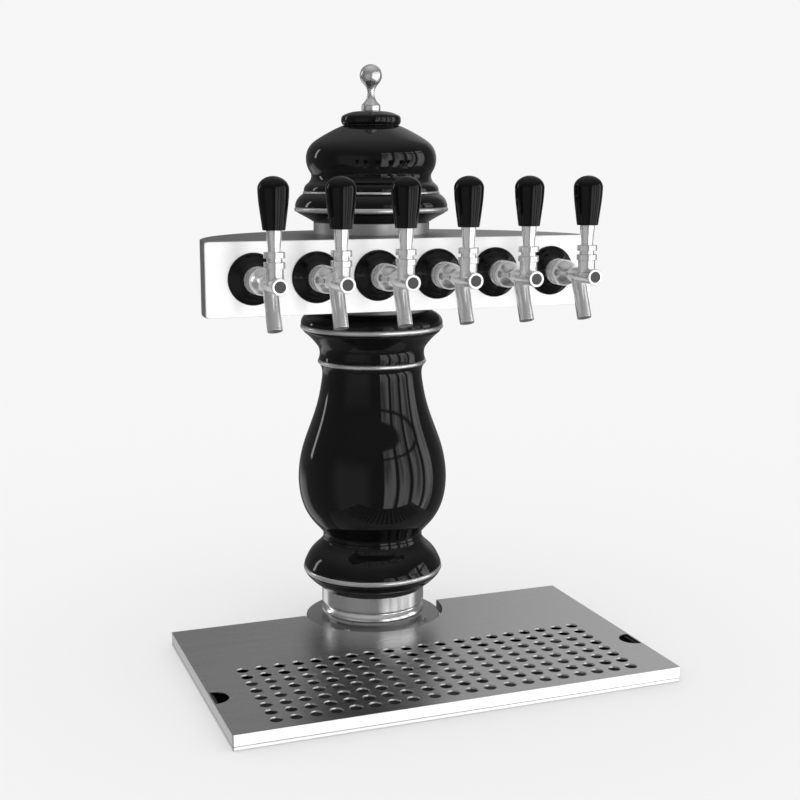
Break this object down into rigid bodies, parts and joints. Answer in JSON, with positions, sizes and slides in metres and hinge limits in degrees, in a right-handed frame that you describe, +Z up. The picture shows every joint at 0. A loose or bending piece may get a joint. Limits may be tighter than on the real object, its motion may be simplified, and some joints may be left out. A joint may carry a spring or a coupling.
{
  "type": "beer tap tower",
  "caption": "Ceramic column beer tower with a half-round tap box, a row of lever taps, a domed cap with a ball finial and a perforated drip tray around its foot.",
  "frame": {"origin": "on the tower's axis, in the plane of the counter top that the foot and the tray stand on", "axes": "+Z up, -Y towards the person who pours, +X along the row of taps to the right as seen from the front"},
  "size_m": [0.6, 0.4906, 0.807],
  "materials": {
    "black_ceramic": "deep black glaze, glossy",
    "polished_steel": "polished",
    "satin_flange": "satin spun steel",
    "screw_steel": "bright",
    "box_sheet": "satin sheet",
    "box_front_sheet": "fine brushed, bright",
    "cast_plate": "dark painted casting",
    "hardware_steel": "plain",
    "gasket_rubber": "matte",
    "black_gloss": "glossy black",
    "tap_steel": "satin turned steel",
    "cap_insert": "dark grey insert",
    "knob_black": "glossy black",
    "line_plastic": "food-grade hose",
    "cooling_line_plastic": "hose",
    "pan_steel": "satin sheet",
    "grid_steel": "brushed along its length"
  },
  "bodies": {
    "tower": {"base_collar": "polished_steel", "base_flange": "satin_flange", "beer_lines": "line_plastic", "box_front": "box_front_sheet", "box_lid": "box_sheet", "box_screws": "screw_steel", "box_shell": "box_sheet", "bun_cap": "black_ceramic", "cap_discs": "cap_insert", "column_bulb": "black_ceramic", "cooling_lines": "cooling_line_plastic", "coupling_nuts": "tap_steel", "dome": "black_ceramic", "dome_bands": "polished_steel", "dome_dish": "black_ceramic", "dome_skirt": "black_ceramic", "escutcheons": "black_gloss", "faucet_bodies": "tap_steel", "faucet_caps": "polished_steel", "finial": "polished_steel", "flange_screws": "screw_steel", "foot_band": "polished_steel", "foot_cap": "black_ceramic", "foot_cup": "black_ceramic", "joint_gaskets": "gasket_rubber", "lever_pins": "hardware_steel", "line_clamps": "hardware_steel", "lower_box_collar": "polished_steel", "mount_plate": "cast_plate", "neck_bands": "polished_steel", "neck_flare": "black_ceramic", "shank_nuts": "hardware_steel", "shanks": "hardware_steel", "shoulder_cap": "black_ceramic", "tie_nut": "hardware_steel", "tie_rod": "hardware_steel", "upper_box_collar": "polished_steel"},
    "drip_tray": {"drip_pan": "pan_steel", "pan_walls": "pan_steel", "pan_feet": "gasket_rubber"},
    "drip_lid": {"drip_grid": "grid_steel", "grid_frame": "grid_steel"},
    "tap_lever_1": {"lever_1": "tap_steel", "knob_1": "knob_black"},
    "tap_plunger_1": {"plunger_1": "hardware_steel"},
    "tap_lever_2": {"lever_2": "tap_steel", "knob_2": "knob_black"},
    "tap_plunger_2": {"plunger_2": "hardware_steel"},
    "tap_lever_3": {"lever_3": "tap_steel", "knob_3": "knob_black"},
    "tap_plunger_3": {"plunger_3": "hardware_steel"},
    "tap_lever_4": {"lever_4": "tap_steel", "knob_4": "knob_black"},
    "tap_plunger_4": {"plunger_4": "hardware_steel"},
    "tap_lever_5": {"lever_5": "tap_steel", "knob_5": "knob_black"},
    "tap_plunger_5": {"plunger_5": "hardware_steel"},
    "tap_lever_6": {"lever_6": "tap_steel", "knob_6": "knob_black"},
    "tap_plunger_6": {"plunger_6": "hardware_steel"}
  },
  "joints": [
    {"name": "lever_1_tilt", "type": "hinge", "parent": "tower", "child": "tap_lever_1", "pos_m": [-0.20935, -0.247, 0.5515], "axis": [1, 0, 0], "range_deg": [0, 22]},
    {"name": "plunger_1_slide", "type": "slide", "parent": "tower", "child": "tap_plunger_1", "axis": [0, 1, 0], "range_m": [0, 0.0078]},
    {"name": "lever_2_tilt", "type": "hinge", "parent": "tower", "child": "tap_lever_2", "pos_m": [-0.12561, -0.247, 0.5515], "axis": [1, 0, 0], "range_deg": [0, 22]},
    {"name": "plunger_2_slide", "type": "slide", "parent": "tower", "child": "tap_plunger_2", "axis": [0, 1, 0], "range_m": [0, 0.0078]},
    {"name": "lever_3_tilt", "type": "hinge", "parent": "tower", "child": "tap_lever_3", "pos_m": [-0.04187, -0.247, 0.5515], "axis": [1, 0, 0], "range_deg": [0, 22]},
    {"name": "plunger_3_slide", "type": "slide", "parent": "tower", "child": "tap_plunger_3", "axis": [0, 1, 0], "range_m": [0, 0.0078]},
    {"name": "lever_4_tilt", "type": "hinge", "parent": "tower", "child": "tap_lever_4", "pos_m": [0.04187, -0.247, 0.5515], "axis": [1, 0, 0], "range_deg": [0, 22]},
    {"name": "plunger_4_slide", "type": "slide", "parent": "tower", "child": "tap_plunger_4", "axis": [0, 1, 0], "range_m": [0, 0.0078]},
    {"name": "lever_5_tilt", "type": "hinge", "parent": "tower", "child": "tap_lever_5", "pos_m": [0.12561, -0.247, 0.5515], "axis": [1, 0, 0], "range_deg": [0, 22]},
    {"name": "plunger_5_slide", "type": "slide", "parent": "tower", "child": "tap_plunger_5", "axis": [0, 1, 0], "range_m": [0, 0.0078]},
    {"name": "lever_6_tilt", "type": "hinge", "parent": "tower", "child": "tap_lever_6", "pos_m": [0.20935, -0.247, 0.5515], "axis": [1, 0, 0], "range_deg": [0, 22]},
    {"name": "plunger_6_slide", "type": "slide", "parent": "tower", "child": "tap_plunger_6", "axis": [0, 1, 0], "range_m": [0, 0.0078]},
    {"name": "tray_pull", "type": "slide", "parent": "tower", "child": "drip_tray", "axis": [0, -1, 0], "range_m": [0, 0.25]},
    {"name": "lid_lift", "type": "slide", "parent": "drip_tray", "child": "drip_lid", "axis": [0, 0, 1], "range_m": [0, 0.05]}
  ],
  "couplings": [
    {"joint": "plunger_1_slide", "follows": "lever_1_tilt", "m_per_rad": 0.0198},
    {"joint": "plunger_2_slide", "follows": "lever_2_tilt", "m_per_rad": 0.0198},
    {"joint": "plunger_3_slide", "follows": "lever_3_tilt", "m_per_rad": 0.0198},
    {"joint": "plunger_4_slide", "follows": "lever_4_tilt", "m_per_rad": 0.0198},
    {"joint": "plunger_5_slide", "follows": "lever_5_tilt", "m_per_rad": 0.0198},
    {"joint": "plunger_6_slide", "follows": "lever_6_tilt", "m_per_rad": 0.0198}
  ]
}
